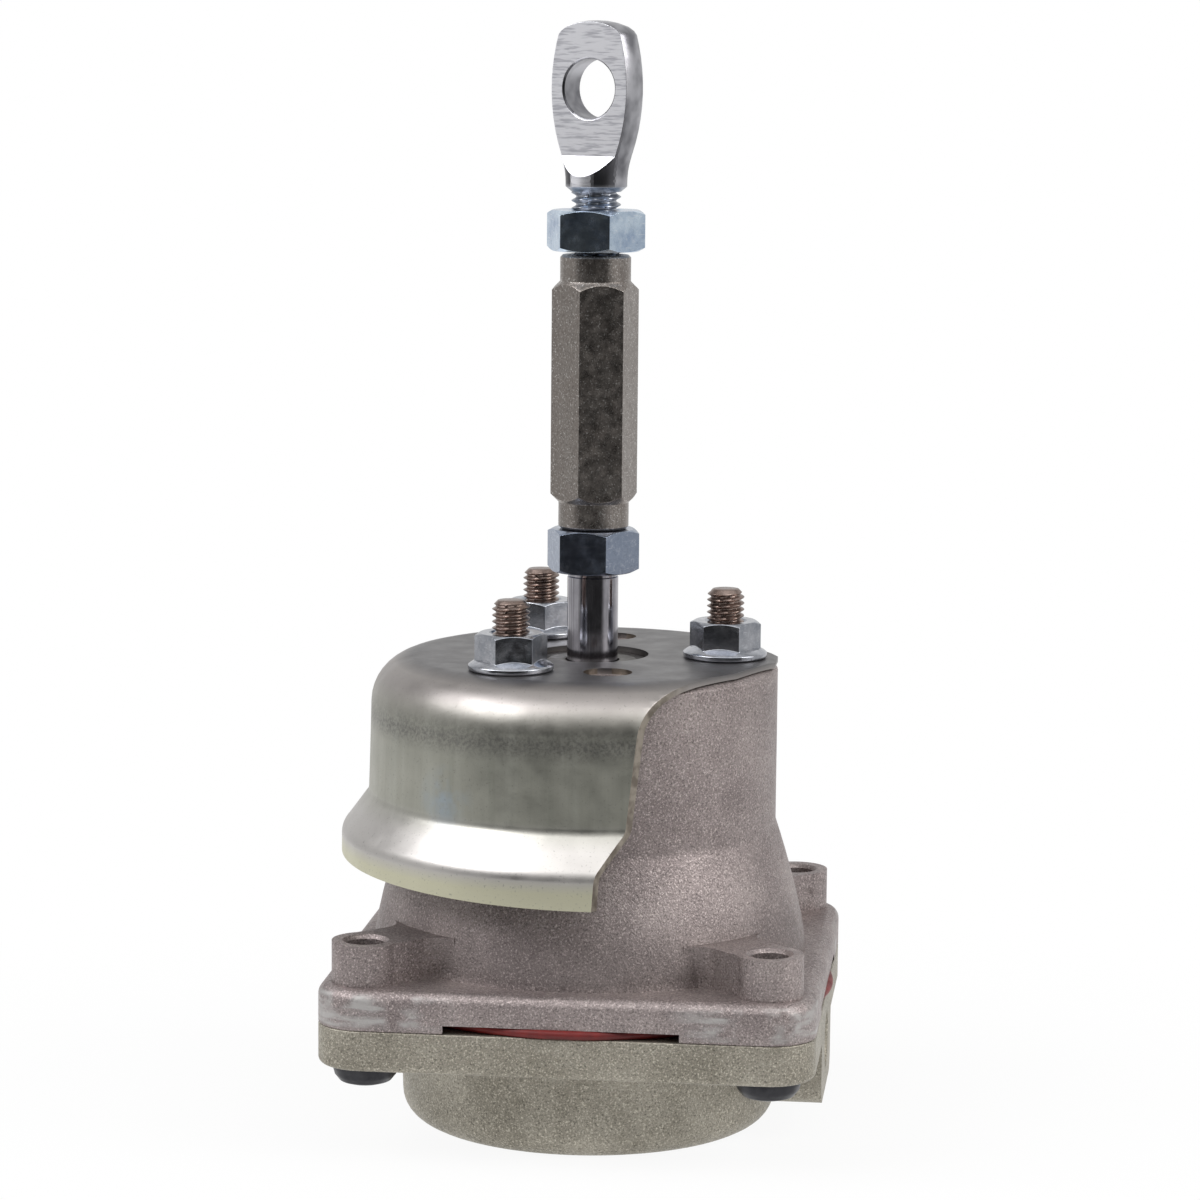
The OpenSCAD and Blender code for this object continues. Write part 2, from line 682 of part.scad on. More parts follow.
// One skin: side 0 is the outer face, side 1 the inner face, a sheet thickness inwards
function shield_skin(side) = let (
    t = side * shield_t, round_r = 3, hollow_r = 2.4,
    hollow_x = shield_wall_r + hollow_r * cos(shield_draft),
    hollow_z = shield_foot_z + hollow_r * sin(shield_draft))
    concat([[shield_lip_r - t, shield_flare_z - lip_h - 1]],
    arc(shield_lip_r - round_r, shield_flare_z, round_r - t, 0, 45, 4),
    arc(hollow_x, hollow_z, hollow_r + t, 225, 180 + shield_draft, 4),
    arc(shield_bend_x, shield_bend_z, shield_bend_r - t, shield_draft, 90, 10),
    [[0, shield_top_z - t]]);

// Studs, their nuts and the cover screws

// Stud whose free end above its nut is a hair fuller than the thread that the nut and the boss hold
module stud(i) {
    bevel = 0.8;
    top = stud_rise + shield_t + stud_depth;
    free = stud_depth + shield_t + stud_nut_h + face_fit;
    held_r = m6_r - 0.3;
    color("tan") rotate([0, 0, 360 * (i - 1) / stud_count]) translate([stud_r, 0, tower_top_z - stud_depth])
        rotate_extrude() polygon([[0, 0], [held_r - bevel, 0], [held_r, bevel], [held_r, free],
            [m6_r, free], [m6_r, top - bevel], [m6_r - bevel, top], [0, top]]);
}

// Nut with a cone-backed round flange
module flange_nut(i) {
    turn = stud_nut_turns[i - 1];
    corner_r = stud_nut_af / sqrt(3);
    rim = 1.2;
    bevel = 0.9;
    drop = 0.5;
    color("silver") rotate([0, 0, 360 * (i - 1) / stud_count]) translate([stud_r, 0, shield_top_z])
        rotate([0, 0, turn - 360 * (i - 1) / stud_count]) difference() {
            union() {
                intersection() {
                    rotate([0, 0, 30]) cylinder(r = corner_r, h = stud_nut_h, $fn = 6);
                    rotate_extrude() polygon([[0, 0], [corner_r + bevel, 0],
                        [corner_r + bevel, stud_nut_h - 2 * drop], [corner_r - bevel, stud_nut_h],
                        [0, stud_nut_h]]);
                }
                rotate_extrude() polygon([[0, 0], [stud_nut_flange_r - 0.3, 0], [stud_nut_flange_r, 0.3],
                    [stud_nut_flange_r, rim - 0.3], [stud_nut_flange_r - 0.4, rim],
                    [stud_nut_af / 2 - 0.3, rim + 0.9], [0, rim + 0.9]]);
            }
            translate([0, 0, -1]) cylinder(r = m6_r + thread_fit, h = stud_nut_h + 2);
            translate([0, 0, stud_nut_h]) lead_in(m6_r + thread_fit, true, 0.4);
        }
}

// Button-head screw driven up from below
module cover_screw(x, y) {
    dome = button_h * 0.75;
    color("black") translate([x * screw_pitch / 2, y * screw_pitch / 2, cup_depth]) difference() {
        rotate_extrude() polygon([[0, -button_h], [button_r * 0.55, -button_h],
            [button_r * 0.78, -button_h * 0.88], [button_r * 0.93, -button_h * 0.58],
            [button_r, -button_h * 0.2], [button_r, 0], [m6_r, 0],
            [m6_r, screw_l - 0.8], [m6_r - 0.8, screw_l], [0, screw_l]]);
        translate([0, 0, -button_h - 1]) cylinder(r = socket_af / sqrt(3), h = dome + 1, $fn = 6);
    }
}

lower_cover();
upper_housing();
diaphragm();
piston();
retainer_plate();
return_spring();
spring_seat();
actuator_rod();
piston_washer();
piston_nut();
guide_bush();
rod_seal();
seal_washer();
heat_shield();
stud(1);  // stud_1
stud(2);  // stud_2
stud(3);  // stud_3
flange_nut(1);  // stud_nut_1
flange_nut(2);  // stud_nut_2
flange_nut(3);  // stud_nut_3
lower_jam_nut();
coupler();
upper_jam_nut();
eye_end();
cover_screw(-1, -1);  // cover_screw_1
cover_screw(1, -1);  // cover_screw_2
cover_screw(1, 1);  // cover_screw_3
cover_screw(-1, 1);  // cover_screw_4
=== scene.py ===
# %% [markdown]
# # A pneumatic wastegate actuator
# The part is a spring-loaded piston in a cast body, with a threaded rod, a coupler and a flat
# eye. The CAD model already holds every size. This lesson puts the real finishes on it: grainy
# cast aluminium, bright and blue zinc, rolled threads, polished rod and a stamped shield.

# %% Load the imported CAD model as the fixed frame
import json
import math

import bpy
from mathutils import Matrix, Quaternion, Vector


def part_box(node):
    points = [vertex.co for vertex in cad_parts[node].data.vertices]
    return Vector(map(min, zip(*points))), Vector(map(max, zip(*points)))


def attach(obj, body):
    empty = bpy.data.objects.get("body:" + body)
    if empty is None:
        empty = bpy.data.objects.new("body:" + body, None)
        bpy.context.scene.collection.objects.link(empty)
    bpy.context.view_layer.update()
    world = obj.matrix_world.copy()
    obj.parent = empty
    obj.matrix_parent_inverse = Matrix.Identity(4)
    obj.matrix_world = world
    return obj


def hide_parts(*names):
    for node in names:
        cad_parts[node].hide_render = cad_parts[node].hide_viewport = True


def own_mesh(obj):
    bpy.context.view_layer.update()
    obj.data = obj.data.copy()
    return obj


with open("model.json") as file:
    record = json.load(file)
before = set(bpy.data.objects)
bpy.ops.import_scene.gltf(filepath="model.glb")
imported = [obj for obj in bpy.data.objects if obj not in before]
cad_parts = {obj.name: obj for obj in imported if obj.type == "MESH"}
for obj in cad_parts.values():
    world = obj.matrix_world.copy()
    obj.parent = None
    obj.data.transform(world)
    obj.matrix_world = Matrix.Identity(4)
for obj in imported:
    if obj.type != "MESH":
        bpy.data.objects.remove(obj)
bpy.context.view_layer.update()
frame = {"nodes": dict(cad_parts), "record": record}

scene = bpy.context.scene
nodes = frame["nodes"]
MM = 0.001

# %% [markdown]
# ## The camera
# The photograph was taken with a long lens, a little to the right of the part's front and
# slightly from above. A long lens keeps the upright lines upright. The lens and place below come
# from the square flange and from the circles of the cup and the shield, so the render lies on the
# photograph.

# %% Set up the camera
camera_data = bpy.data.cameras.new("photo_camera")
camera_data.lens = 117
camera_data.sensor_width = 36
camera_data.shift_x = 0.00605
camera_data.clip_start = 0.01
camera_data.clip_end = 20
camera = bpy.data.objects.new("photo_camera", camera_data)
scene.collection.objects.link(camera)
camera.location = (0.0705, -0.6185, 0.1749)
look_at = Vector((0, 0, 0.0846))
roll = math.radians(0.5)
aim = (look_at - camera.location).to_track_quat("-Z", "Y")
camera.rotation_euler = (aim @ Quaternion((0, 0, 1), roll)).to_euler()
scene.camera = camera

# %% [markdown]
# ## The studio
# Shiny metal shows its surroundings, so the studio matters as much as the finishes. The world is
# white behind the part and dim behind the camera, as in a small photo tent that is open in front.
# Large soft lamps stand on the left, on the right and above. The floor is white to the camera and
# to reflections, and still takes a faint shadow.

# %% Node helpers for the world and the finishes
def add_node(tree, kind, **values):
    """Adds a shader node and sets its properties, or its inputs by name."""
    node = tree.nodes.new(kind)
    for key, value in values.items():
        name = key.replace("_", " ").title()
        if name in node.inputs:
            node.inputs[name].default_value = value
        else:
            setattr(node, key, value)
    return node


def add_math(tree, operation, first, second=0.5, clamp=False):
    """Adds a Math node on two sockets or numbers and returns its output."""
    node = tree.nodes.new("ShaderNodeMath")
    node.operation = operation
    node.use_clamp = clamp
    for socket, value in zip(node.inputs, (first, second)):
        if isinstance(value, (int, float)):
            socket.default_value = value
        else:
            tree.links.new(value, socket)
    return node.outputs[0]


def seen_directly(tree):
    """1 for camera, glossy and transmission rays and 0 for the rest, and the Light Path node."""
    path = tree.nodes.new("ShaderNodeLightPath")
    both = add_math(tree, "MAXIMUM", path.outputs["Is Camera Ray"], path.outputs["Is Glossy Ray"])
    return add_math(tree, "MAXIMUM", both, path.outputs["Is Transmission Ray"]), path


# %% Light the world
OPEN_FRONT, TENT_BACK, TENT_ROOF, TENT_SIDES = 0.035, 0.8, 0.8, 0.6  # as reflections see them
FILL_LIGHT = 0.30  # what lights dull surfaces from all round

world = bpy.data.worlds.new("studio_world")
scene.world = world
world.use_nodes = True
sky = world.node_tree
sky.nodes.clear()
direction = add_node(sky, "ShaderNodeTexCoord").outputs["Generated"]
axes = add_node(sky, "ShaderNodeSeparateXYZ")
sky.links.new(direction, axes.inputs[0])
behind = add_node(sky, "ShaderNodeMapRange", from_min=0.1, from_max=0.75, to_min=OPEN_FRONT,
                  to_max=TENT_BACK)
sky.links.new(axes.outputs["Y"], behind.inputs["Value"])
roof_side = add_node(sky, "ShaderNodeVectorMath", operation="DOT_PRODUCT")
sky.links.new(direction, roof_side.inputs[0])
roof_side.inputs[1].default_value = (0, -0.25, 0.968)
overhead = add_node(sky, "ShaderNodeMapRange", from_min=0.42, from_max=0.80, to_min=0.0,
                    to_max=TENT_ROOF)
sky.links.new(roof_side.outputs["Value"], overhead.inputs["Value"])
sides = add_node(sky, "ShaderNodeMapRange", from_min=0.72, from_max=0.9, to_min=0.0,
                 to_max=TENT_SIDES)
sky.links.new(add_math(sky, "ABSOLUTE", axes.outputs["X"]), sides.inputs["Value"])
glow = add_math(sky, "MAXIMUM", behind.outputs[0], overhead.outputs[0])
glow = add_math(sky, "MAXIMUM", glow, sides.outputs[0])
_, path = seen_directly(sky)
shiny = add_math(sky, "MAXIMUM", path.outputs["Is Glossy Ray"], path.outputs["Is Transmission Ray"])
level = add_math(sky, "MULTIPLY", glow, shiny)
plain = add_math(sky, "MULTIPLY", add_math(sky, "SUBTRACT", 1.0, shiny), FILL_LIGHT)
level = add_math(sky, "ADD", level, plain)
level = add_math(sky, "MAXIMUM", level, path.outputs["Is Camera Ray"])
background = add_node(sky, "ShaderNodeBackground")
background.inputs["Color"].default_value = (1, 1, 1, 1)
sky.links.new(level, background.inputs["Strength"])
world_out = add_node(sky, "ShaderNodeOutputWorld")
sky.links.new(background.outputs[0], world_out.inputs[0])
scene.view_settings.view_transform = "Standard"


# %% Hang the soft lamps
PART_MIDDLE = Vector((0, 0, 0.07))


def softbox(name, place, size, power, colour=(1, 1, 1)):
    """A rectangular lamp that faces the middle of the part."""
    data = bpy.data.lights.new(name, "AREA")
    data.shape = "RECTANGLE"
    data.size, data.size_y = size
    data.energy = power
    data.color = colour
    lamp = bpy.data.objects.new(name, data)
    scene.collection.objects.link(lamp)
    lamp.location = place
    aim = (PART_MIDDLE - lamp.location).to_track_quat("-Z", "Y")
    lamp.rotation_euler = aim.to_euler()


softbox("lamp_left", (-0.85, -0.38, 0.88), (0.9, 0.6), 8.5, (0.98, 0.98, 1.0))
softbox("lamp_right", (1.0, -0.25, 0.75), (0.7, 0.6), 7.5, (1.0, 0.98, 0.97))
softbox("lamp_above", (0.0, -0.52, 0.92), (2.0, 0.5), 4.1)

# %% Lay the floor
bpy.ops.mesh.primitive_circle_add(vertices=96, radius=0.3, fill_type="NGON")
floor = bpy.context.object
floor.name = "studio_floor"
floor_finish = bpy.data.materials.new("studio_white")
floor_finish.use_nodes = True
tree = floor_finish.node_tree
tree.nodes.clear()
matt = add_node(tree, "ShaderNodeBsdfDiffuse")
matt.inputs["Color"].default_value = (0.9, 0.9, 0.9, 1)
white = add_node(tree, "ShaderNodeEmission")
white.inputs["Color"].default_value = (1, 1, 1, 1)
mix = add_node(tree, "ShaderNodeMixShader")
seen, _ = seen_directly(tree)
spot = add_node(tree, "ShaderNodeVectorMath", operation="LENGTH")
tree.links.new(add_node(tree, "ShaderNodeTexCoord").outputs["Object"], spot.inputs[0])
fade = add_node(tree, "ShaderNodeMapRange", from_min=0.05, from_max=0.16, to_min=0.92, to_max=1.0)
tree.links.new(spot.outputs["Value"], fade.inputs["Value"])
tree.links.new(add_math(tree, "MULTIPLY", seen, fade.outputs[0]), mix.inputs[0])
tree.links.new(matt.outputs[0], mix.inputs[1])
tree.links.new(white.outputs[0], mix.inputs[2])
tree.links.new(mix.outputs[0], add_node(tree, "ShaderNodeOutputMaterial").inputs[0])
floor.data.materials.append(floor_finish)
floor.location.z = -0.0002
bpy.ops.object.transform_apply(location=True, rotation=True, scale=True)

# %% [markdown]
# ## The finishes
# Every metal here is one shader with three layers of change: a slow one that shifts its colour
# and roughness as plating and handling do, a fine one that is the grain, and a bump for what the
# fingers would feel. Object coordinates are in metres, so a noise scale of 1000 makes marks of
# about 1 mm.

# %% Build blocks for the finishes
class Finish:
    """A material under construction: its node tree, shader and object coordinates."""

    def __init__(self, name, metallic=1.0, specular=0.5):
        self.material = bpy.data.materials.new(name)
        self.material.use_nodes = True
        self.tree = self.material.node_tree
        self.shader = self.tree.nodes["Principled BSDF"]
        self.shader.inputs["Metallic"].default_value = metallic
        self.shader.inputs["Specular IOR Level"].default_value = specular
        self.place = add_node(self.tree, "ShaderNodeTexCoord").outputs["Object"]
        self.bump = None

    def noise(self, scale, detail=4.0, rough=0.55, stretch=(1, 1, 1), turn=(0, 0, 0)):
        """Noise from 0 to 1. A stretch below 1 draws the marks out along that axis."""
        mapping = add_node(self.tree, "ShaderNodeMapping")
        mapping.inputs["Scale"].default_value = stretch
        mapping.inputs["Rotation"].default_value = turn
        self.tree.links.new(self.place, mapping.inputs["Vector"])
        texture = add_node(self.tree, "ShaderNodeTexNoise", scale=scale, detail=detail,
                           roughness=rough)
        self.tree.links.new(mapping.outputs[0], texture.inputs["Vector"])
        return texture.outputs[0]

    def split(self, vector):
        """The X, Y and Z of a vector."""
        axes = add_node(self.tree, "ShaderNodeSeparateXYZ")
        self.tree.links.new(vector, axes.inputs[0])
        return axes.outputs["X"], axes.outputs["Y"], axes.outputs["Z"]

    def true_normal(self):
        """The way a face looks, before any bump."""
        return add_node(self.tree, "ShaderNodeNewGeometry").outputs["True Normal"]

    def size(self, value):
        """A number without its sign."""
        return add_math(self.tree, "ABSOLUTE", value)

    def product(self, first, *others):
        for other in others:
            first = add_math(self.tree, "MULTIPLY", first, other)
        return first

    def from_axis(self):
        """A point's distance from the part's upright axis and its height, both in metres."""
        x, y, z = self.split(self.place)
        square = add_math(self.tree, "ADD", self.product(x, x), self.product(y, y))
        return add_math(self.tree, "SQRT", square), z

    def fit(self, value, low, high, to_low=0.0, to_high=1.0):
        """Maps low..high to to_low..to_high, and holds the ends outside that range."""
        node = add_node(self.tree, "ShaderNodeMapRange", from_min=low, from_max=high,
                        to_min=to_low, to_max=to_high)
        self.tree.links.new(value, node.inputs["Value"])
        return node.outputs[0]

    def blend(self, factor, first, second):
        """Mixes two colours, each a socket or three numbers."""
        node = add_node(self.tree, "ShaderNodeMix", data_type="RGBA")
        self.tree.links.new(factor, node.inputs[0])
        for socket, value in ((node.inputs[6], first), (node.inputs[7], second)):
            if isinstance(value, tuple):
                socket.default_value = (*value, 1)
            else:
                self.tree.links.new(value, socket)
        return node.outputs[2]

    def colour(self, value):
        self.tree.links.new(value, self.shader.inputs["Base Color"])

    def roughness(self, value):
        self.tree.links.new(value, self.shader.inputs["Roughness"])

    def relief(self, height, depth_mm, strength=1.0):
        """Adds a bump on top of the bumps so far."""
        node = add_node(self.tree, "ShaderNodeBump", strength=strength, distance=depth_mm * MM)
        self.tree.links.new(height, node.inputs["Height"])
        if self.bump is not None:
            self.tree.links.new(self.bump, node.inputs["Normal"])
        self.bump = node.outputs[0]
        self.tree.links.new(self.bump, self.shader.inputs["Normal"])


def scaled(colour, times):
    """A colour times a number, with no channel above 1."""
    return tuple(min(1, channel * times) for channel in colour)


# %% [markdown]
# ### Cast and blasted aluminium
# Sand and shot leave a dull skin of fine pits with tiny facets that sparkle. Two sizes of noise
# make the pits and the sparkle, and large soft clouds keep the big faces from looking printed.
# The upper casting also has filed corners, painted shade in the hole round the rod under the shield,
# and painted shade in the fillet of its foot under the shield's lip, each behind a mask on height
# and on distance from the axis.

# %% Marks of use and painted shade on the castings
FILED_METAL = (0.46, 0.445, 0.435)
# Painted shade: near black for the hole round the rod, under the shield.
HOLE_SHADE = (0.035, 0.03, 0.028)
# Painted shade: a darker colour for the foot of the tower, under the shield's lip.
FOOT_SHADE = (0.11, 0.09, 0.085)


def filed_corners(finish, low, high):
    """A mask of file strokes near the corners, between two heights in mm."""
    x, y, z = finish.split(finish.place)
    band = finish.product(finish.fit(z, low * MM, (low + 0.4) * MM),
                          finish.fit(z, high * MM, (high - 0.6) * MM),
                          finish.fit(finish.size(x), 16 * MM, 24 * MM),
                          finish.fit(finish.size(y), 16 * MM, 24 * MM))
    patchy = finish.fit(finish.noise(120, 3), 0.40, 0.50)
    strokes = finish.noise(900, 2, 0.5, (0.15, 0.15, 1.0), (0.5, 0.7, 0.0))
    return finish.product(band, patchy, finish.fit(strokes, 0.42, 0.58, 0.2, 1.0))


# Painted shade: the hole round the rod, under the shield, is painted near black.
def shaded_hole_mask(finish, radius, low):
    """A mask inside a radius and above a height, both in mm."""
    reach, height = finish.from_axis()
    return finish.product(finish.fit(reach, (radius + 0.5) * MM, radius * MM),
                          finish.fit(height, (low - 0.5) * MM, low * MM))


# Painted shade at the foot of the tower, where the shield's lip shades the fillet.
def shaded_foot_mask(finish, radius, low):
    """A mask inside a radius that fades over 10 mm above a height, both in mm."""
    reach, height = finish.from_axis()
    return finish.product(finish.fit(height, (low + 10) * MM, (low + 2) * MM, 0.0, 0.5),
                          finish.fit(height, (low - 1) * MM, low * MM),
                          finish.fit(reach, radius * MM, (radius - 3) * MM))


# %% Cast aluminium
CAST_GRAIN = 3200


def cast_aluminium(name, light, dark, stain, pit_mm, filed=None, hole_shade=None, foot_shade=None):
    """filed, oily and grimy are the two measures in mm that their masks take, or None. oily and
    grimy paint shade: in the hole round the rod and at the foot under the shield.
    """
    finish = Finish(name, metallic=0.8)
    clouds = finish.fit(finish.noise(70, 6, 0.65), 0.38, 0.64)
    skin = finish.blend(clouds, dark, light)
    fine = finish.noise(CAST_GRAIN, 3, 0.75)
    skin = finish.blend(finish.fit(fine, 0.56, 0.64, 0.0, 0.75), skin, scaled(light, 1.9))
    skin = finish.blend(finish.fit(fine, 0.45, 0.35, 0.0, 0.8), skin, scaled(dark, 0.35))
    spots = finish.fit(finish.noise(190, 4, 0.6), 0.64, 0.74, 0.0, 0.45)
    skin = finish.blend(spots, skin, stain)
    if filed:
        skin = finish.blend(filed_corners(finish, *filed), skin, FILED_METAL)
    # Painted shade in the hole round the rod.
    if hole_shade:
        skin = finish.blend(shaded_hole_mask(finish, *hole_shade), skin, HOLE_SHADE)
    # Painted shade at the foot of the tower.
    if foot_shade:
        skin = finish.blend(shaded_foot_mask(finish, *foot_shade), skin, FOOT_SHADE)
    finish.colour(skin)
    finish.roughness(finish.fit(finish.noise(1200, 3), 0.3, 0.7, 0.40, 0.62))
    finish.relief(fine, pit_mm, 0.9)
    finish.relief(finish.noise(800, 4, 0.6), 0.10, 0.55)
    finish.relief(finish.noise(170, 3, 0.5), 0.10, 0.3)
    return finish.material


split_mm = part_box("lower_cover")[1].z / MM
tower_top_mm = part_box("upper_housing")[1].z / MM
# Painted shade: the hole round the rod and the foot of the tower, both under the shield, are painted
# darker.
upper_cast = cast_aluminium(
    "upper_casting", (0.37, 0.322, 0.311), (0.26, 0.222, 0.217), (0.12, 0.095, 0.09), 0.07,
    filed=(split_mm + 0.3, split_mm + 6.0), hole_shade=(13, tower_top_mm - 3),
    foot_shade=(37, split_mm + 7.5))
lower_cast = cast_aluminium(
    "lower_casting", (0.38, 0.355, 0.30), (0.27, 0.25, 0.205), (0.16, 0.145, 0.11), 0.05)
print("the castings meet at", round(split_mm, 2), "mm")

# %% [markdown]
# ### Zinc plating and turned steel
# Plating follows the steel under it: hexagon bar shows its drawing lines and small scratches, and
# turned faces keep fine rings. Each finish is the colour of the bare metal, because the light and
# dark of a shiny face come from the studio.

# %% Zinc, nickel and steel
SPECK = (0.85, 0.83, 0.80)


def plated_steel(name, light, dark, rough, grain=900, stretch=(1, 1, 1), grain_mm=0.004,
                 scratch=0.3, sparkle=0.2, tint=None, specks=0.0):
    """tint gives a colour and the height in mm above which the plating has it, or None. specks is
    the strength of small bright points."""
    finish = Finish(name)
    clouds = finish.fit(finish.noise(260, 5, 0.6), 0.33, 0.67)
    skin = finish.blend(clouds, dark, light)
    if tint:
        colour, above_mm = tint
        _, height = finish.from_axis()
        above = finish.fit(height, above_mm * MM, (above_mm + 1) * MM, 0.0, 0.85)
        skin = finish.blend(above, skin, colour)
    fine = finish.noise(grain, 4, 0.7, stretch)
    skin = finish.blend(finish.fit(fine, 0.54, 0.66, 0.0, sparkle), skin, scaled(light, 1.6))
    skin = finish.blend(finish.fit(fine, 0.46, 0.34, 0.0, sparkle), skin, scaled(dark, 0.45))
    if specks:
        points = finish.fit(finish.noise(3600, 1, 0.5), 0.63, 0.69, 0.0, specks)
        skin = finish.blend(points, skin, SPECK)
    if scratch:
        lines = finish.noise(500, 2, 0.5, (1.0, 1.0, 10.0), (0.5, 0.3, 0.2))
        marks = finish.fit(lines, 0.64, 0.69, 0.0, scratch)
        skin = finish.blend(marks, skin, scaled(light, 1.5))
    finish.colour(skin)
    finish.roughness(finish.fit(finish.noise(600, 3), 0.3, 0.7, *rough))
    finish.relief(fine, grain_mm, 0.6)
    return finish.material


blue_from_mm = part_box("lower_jam_nut")[0].z / MM - 2
zinc = plated_steel("zinc", (0.52, 0.53, 0.565), (0.30, 0.32, 0.36), (0.12, 0.25), 1400,
                    tint=((0.27, 0.325, 0.43), blue_from_mm))
blue_zinc = plated_steel("blue_zinc", (0.66, 0.78, 0.90), (0.36, 0.46, 0.62), (0.12, 0.28), 1400)
nickel = plated_steel("nickel", (0.285, 0.26, 0.24), (0.255, 0.225, 0.205), (0.26, 0.40), 3000,
                      (1, 1, 0.7), 0.03, 0.0, 0.6, specks=0.6)
stainless = plated_steel("stainless", (0.34, 0.265, 0.235), (0.19, 0.145, 0.125), (0.22, 0.38),
                         1500)
plain_steel = plated_steel("plain_steel", (0.17, 0.16, 0.15), (0.08, 0.075, 0.07), (0.35, 0.55))
spring_steel = plated_steel("spring_steel", (0.30, 0.30, 0.31), (0.2, 0.2, 0.21), (0.35, 0.5))
piston_finish = plated_steel("piston_aluminium", (0.7, 0.7, 0.7), (0.55, 0.55, 0.55), (0.3, 0.45))
bronze = plated_steel("bronze", (0.62, 0.45, 0.27), (0.45, 0.32, 0.2), (0.35, 0.5))
polished = plated_steel("polished_rod", (0.44, 0.43, 0.46), (0.33, 0.32, 0.35), (0.10, 0.18), 500,
                        (6, 6, 0.15), 0.004, 0.0, 0.5)

# %% [markdown]
# ### The milled eye
# One piece shows three surfaces: cheeks that a milling cutter left bright, with fine level lines,
# smooth darker sides, and a dull threaded tail. The eye stands turned about the upright axis, so
# its normals are turned back first. How far they then look along X tells a cheek from a side.

# %% The eye's finish
HEAD_MM = 26.1  # from the shoulder to the top of the eye
EYE_TURN = 64
shoulder_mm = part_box("eye_end")[1].z / MM - HEAD_MM


def eye_finish(name):
    finish = Finish(name)
    _, height = finish.from_axis()
    head = finish.fit(height, (shoulder_mm - 0.5) * MM, (shoulder_mm + 0.5) * MM)
    straight = add_node(finish.tree, "ShaderNodeVectorRotate", rotation_type="Z_AXIS",
                        angle=math.radians(-EYE_TURN))
    finish.tree.links.new(finish.true_normal(), straight.inputs["Vector"])
    out, across, _ = finish.split(straight.outputs[0])
    out, across = finish.size(out), finish.size(across)
    milled = finish.product(finish.fit(out, 0.50, 0.60), head)
    cheek = finish.product(finish.fit(out, 0.90, 0.94), head)
    rim = finish.product(finish.fit(across, 0.35, 0.45), finish.fit(out, 0.3, 0.4), head)

    clouds = finish.fit(finish.noise(260, 5, 0.6), 0.33, 0.67)
    skin = finish.blend(clouds, (0.30, 0.32, 0.36), (0.42, 0.44, 0.48))
    patches = finish.fit(finish.noise(150, 3), 0.40, 0.60)
    sides = finish.blend(patches, (0.22, 0.22, 0.24), (0.50, 0.50, 0.53))
    skin = finish.blend(head, skin, sides)
    skin = finish.blend(milled, skin, (0.78, 0.78, 0.83))
    skin = finish.blend(cheek, skin, (0.96, 0.96, 1.0))
    skin = finish.blend(rim, skin, (0.11, 0.11, 0.12))
    lines = finish.noise(2500, 2, 0.6, (0.10, 0.10, 1.0))
    dark_lines = finish.product(finish.fit(lines, 0.52, 0.38, 0.0, 0.6), cheek)
    skin = finish.blend(dark_lines, skin, (0.42, 0.42, 0.47))
    finish.colour(skin)
    finish.roughness(finish.fit(cheek, 0.0, 1.0, 0.33, 0.40))
    finish.relief(finish.product(lines, cheek), 0.02, 0.5)
    return finish.material


eye_zinc = eye_finish("eye_zinc")
print("the eye's shoulder is at", round(shoulder_mm, 2), "mm")

# %% [markdown]
# ### The stamped shield
# The shield is zinc-plated sheet with a passivated, slightly yellow-green film. The press stretched
# its sides, which are satin and faintly streaked upwards, with a bluish patch. Its flat top is
# painted dark, a painted reflection of a dark room above, and a band just under the bend is painted
# dark as a painted reflection too. Masks on height and place put each tint and each painted
# reflection where it belongs. The sheared edge looks along the circle round the axis, which no other
# face does, and is left bare and brown.

# %% Shield finish
def cut_edge(finish):
    """A mask of the faces that look along the circle round the part's axis."""
    around = add_node(finish.tree, "ShaderNodeVectorMath", operation="CROSS_PRODUCT")
    around.inputs[0].default_value = (0, 0, 1)
    finish.tree.links.new(finish.place, around.inputs[1])
    unit = add_node(finish.tree, "ShaderNodeVectorMath", operation="NORMALIZE")
    finish.tree.links.new(around.outputs[0], unit.inputs[0])
    along = add_node(finish.tree, "ShaderNodeVectorMath", operation="DOT_PRODUCT")
    finish.tree.links.new(unit.outputs[0], along.inputs[0])
    finish.tree.links.new(finish.true_normal(), along.inputs[1])
    return finish.fit(finish.size(along.outputs["Value"]), 0.3, 0.45)


def blue_patch(finish, top_mm):
    """A ragged mask about a point on the left of the wall."""
    distance = add_node(finish.tree, "ShaderNodeVectorMath", operation="DISTANCE")
    distance.inputs[1].default_value = (-19.5 * MM, -30 * MM, (top_mm - 19.0) * MM)
    finish.tree.links.new(finish.place, distance.inputs[0])
    near = finish.fit(distance.outputs["Value"], 6.0 * MM, 1.5 * MM, 0.0, 0.6)
    return finish.product(near, finish.fit(finish.noise(160, 3, 0.6), 0.42, 0.60))


